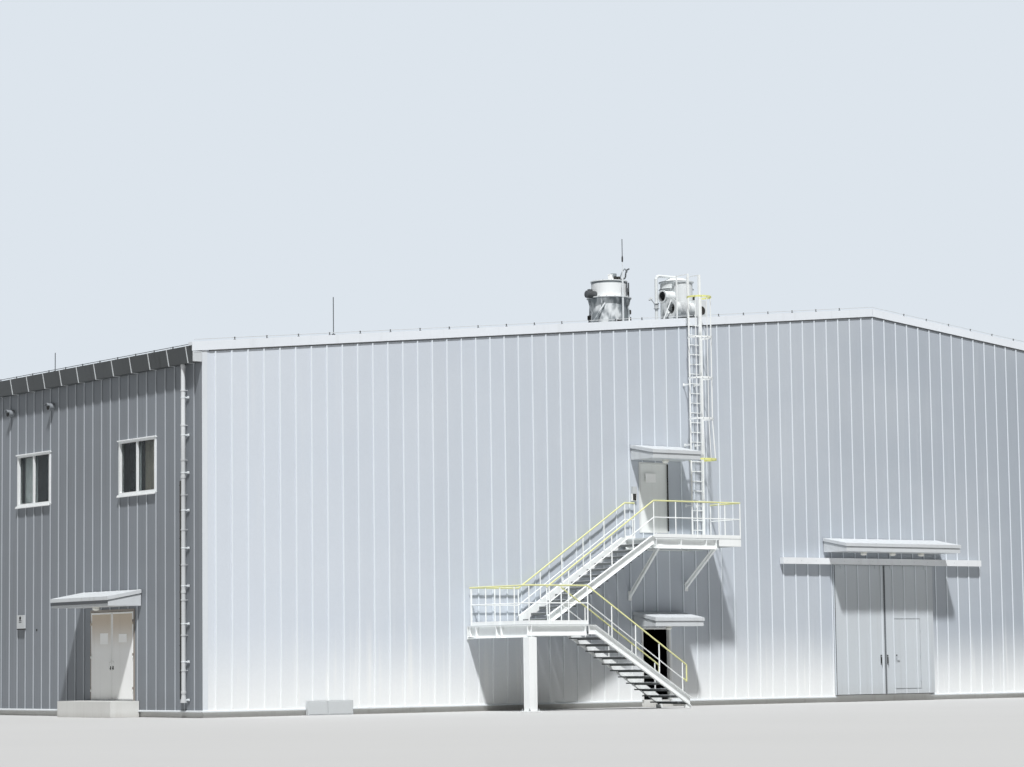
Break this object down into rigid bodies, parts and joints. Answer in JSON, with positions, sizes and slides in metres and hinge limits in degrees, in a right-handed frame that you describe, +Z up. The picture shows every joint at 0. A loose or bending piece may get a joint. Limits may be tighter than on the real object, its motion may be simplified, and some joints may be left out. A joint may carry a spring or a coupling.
{
  "type": "factory building",
  "caption": "Steel frame factory building with ribbed panel walls, low gable roof, sliding gate, outside stair and roof ladder, as a half-size scale model.",
  "frame": {"origin": "middle of the building's plan on the ground, under the ridge", "axes": "+X along the gable front to its right end, seen from the front; +Y from the front to the rear; +Z up"},
  "size_m": [25.087, 19.902, 7.1493],
  "materials": {
    "concrete": "rough",
    "frame_steel": "satin",
    "gable_sheet": "satin",
    "side_sheet": "satin",
    "roof_sheet": "satin",
    "white_trim": "satin",
    "gutter_grey": "satin",
    "strap_white": "satin",
    "pipe_grey": "satin",
    "window_white": "satin",
    "pane": "clear",
    "door_white": "satin",
    "door_beige": "satin",
    "gate_sheet": "satin",
    "canopy_sheet": "satin",
    "light_shell": "gloss",
    "stair_white": "satin",
    "tread_grey": "rough",
    "rail_yellow": "satin",
    "vessel_grey": "satin",
    "duct_white": "satin",
    "rod_grey": "satin",
    "fitting_grey": "satin"
  },
  "bodies": {
    "building": {"floor_slab": "concrete", "upper_floor": "concrete", "hall_columns": "frame_steel", "rafters_left": "frame_steel", "rafters_right": "frame_steel", "purlins": "frame_steel", "front_wall": "gable_sheet", "front_wall_over_doors": "gable_sheet", "rear_wall": "gable_sheet", "side_wall_lower": "side_sheet", "side_wall_bands": "side_sheet", "side_wall_piers": "side_sheet", "roof_left": "roof_sheet", "roof_right": "roof_sheet", "roof_trims": "white_trim", "gutters": "gutter_grey", "gutter_straps": "strap_white", "downpipes": "pipe_grey", "corner_trims": "white_trim", "window_frames": "window_white", "window_glass": "pane", "door_frames": "door_white", "side_step": "concrete", "canopies": "canopy_sheet", "canopy_lights": "light_shell", "gate_track_cover": "canopy_sheet", "upper_door_leaf": "door_beige", "stair_landings": "stair_white", "stair_supports": "stair_white", "stair_stringers": "stair_white", "stair_treads": "tread_grey", "stair_railings": "stair_white", "stair_handrails": "rail_yellow", "ladder": "stair_white", "ladder_cage": "stair_white", "filter_vessel": "vessel_grey", "fan_drum": "duct_white", "lightning_rods": "rod_grey", "wall_fittings": "fitting_grey"},
    "gate_leaf_left": {"gate_leaf_left": "gate_sheet"},
    "gate_leaf_right": {"gate_leaf_right": "gate_sheet"},
    "wicket": {"wicket_leaf": "gate_sheet"},
    "side_door_front": {"side_leaf_front": "door_white"},
    "side_door_rear": {"side_leaf_rear": "door_white"},
    "lower_door": {"lower_door_leaf": "door_beige"}
  },
  "joints": [
    {"name": "gate_left_slide", "type": "slide", "parent": "building", "child": "gate_leaf_left", "axis": [-1, 0, 0], "range_m": [0, 1.06]},
    {"name": "gate_right_slide", "type": "slide", "parent": "building", "child": "gate_leaf_right", "axis": [1, 0, 0], "range_m": [0, 1.06]},
    {"name": "wicket_hinge", "type": "hinge", "parent": "gate_leaf_right", "child": "wicket", "pos_m": [0.829, -9.258, 0.7275], "axis": [0, 0, 1], "range_deg": [0, 95]},
    {"name": "side_door_front_hinge", "type": "hinge", "parent": "building", "child": "side_door_front", "pos_m": [-12.22, -7.394, 0.8235], "axis": [0, 0, 1], "range_deg": [0, 95]},
    {"name": "side_door_rear_hinge", "type": "hinge", "parent": "building", "child": "side_door_rear", "pos_m": [-12.22, -6.226, 0.8235], "axis": [0, 0, -1], "range_deg": [0, 95]},
    {"name": "lower_door_hinge", "type": "hinge", "parent": "building", "child": "lower_door", "pos_m": [-4.784, -9.142, 0.611], "axis": [0, 0, -1], "range_deg": [0, 90]}
  ]
}
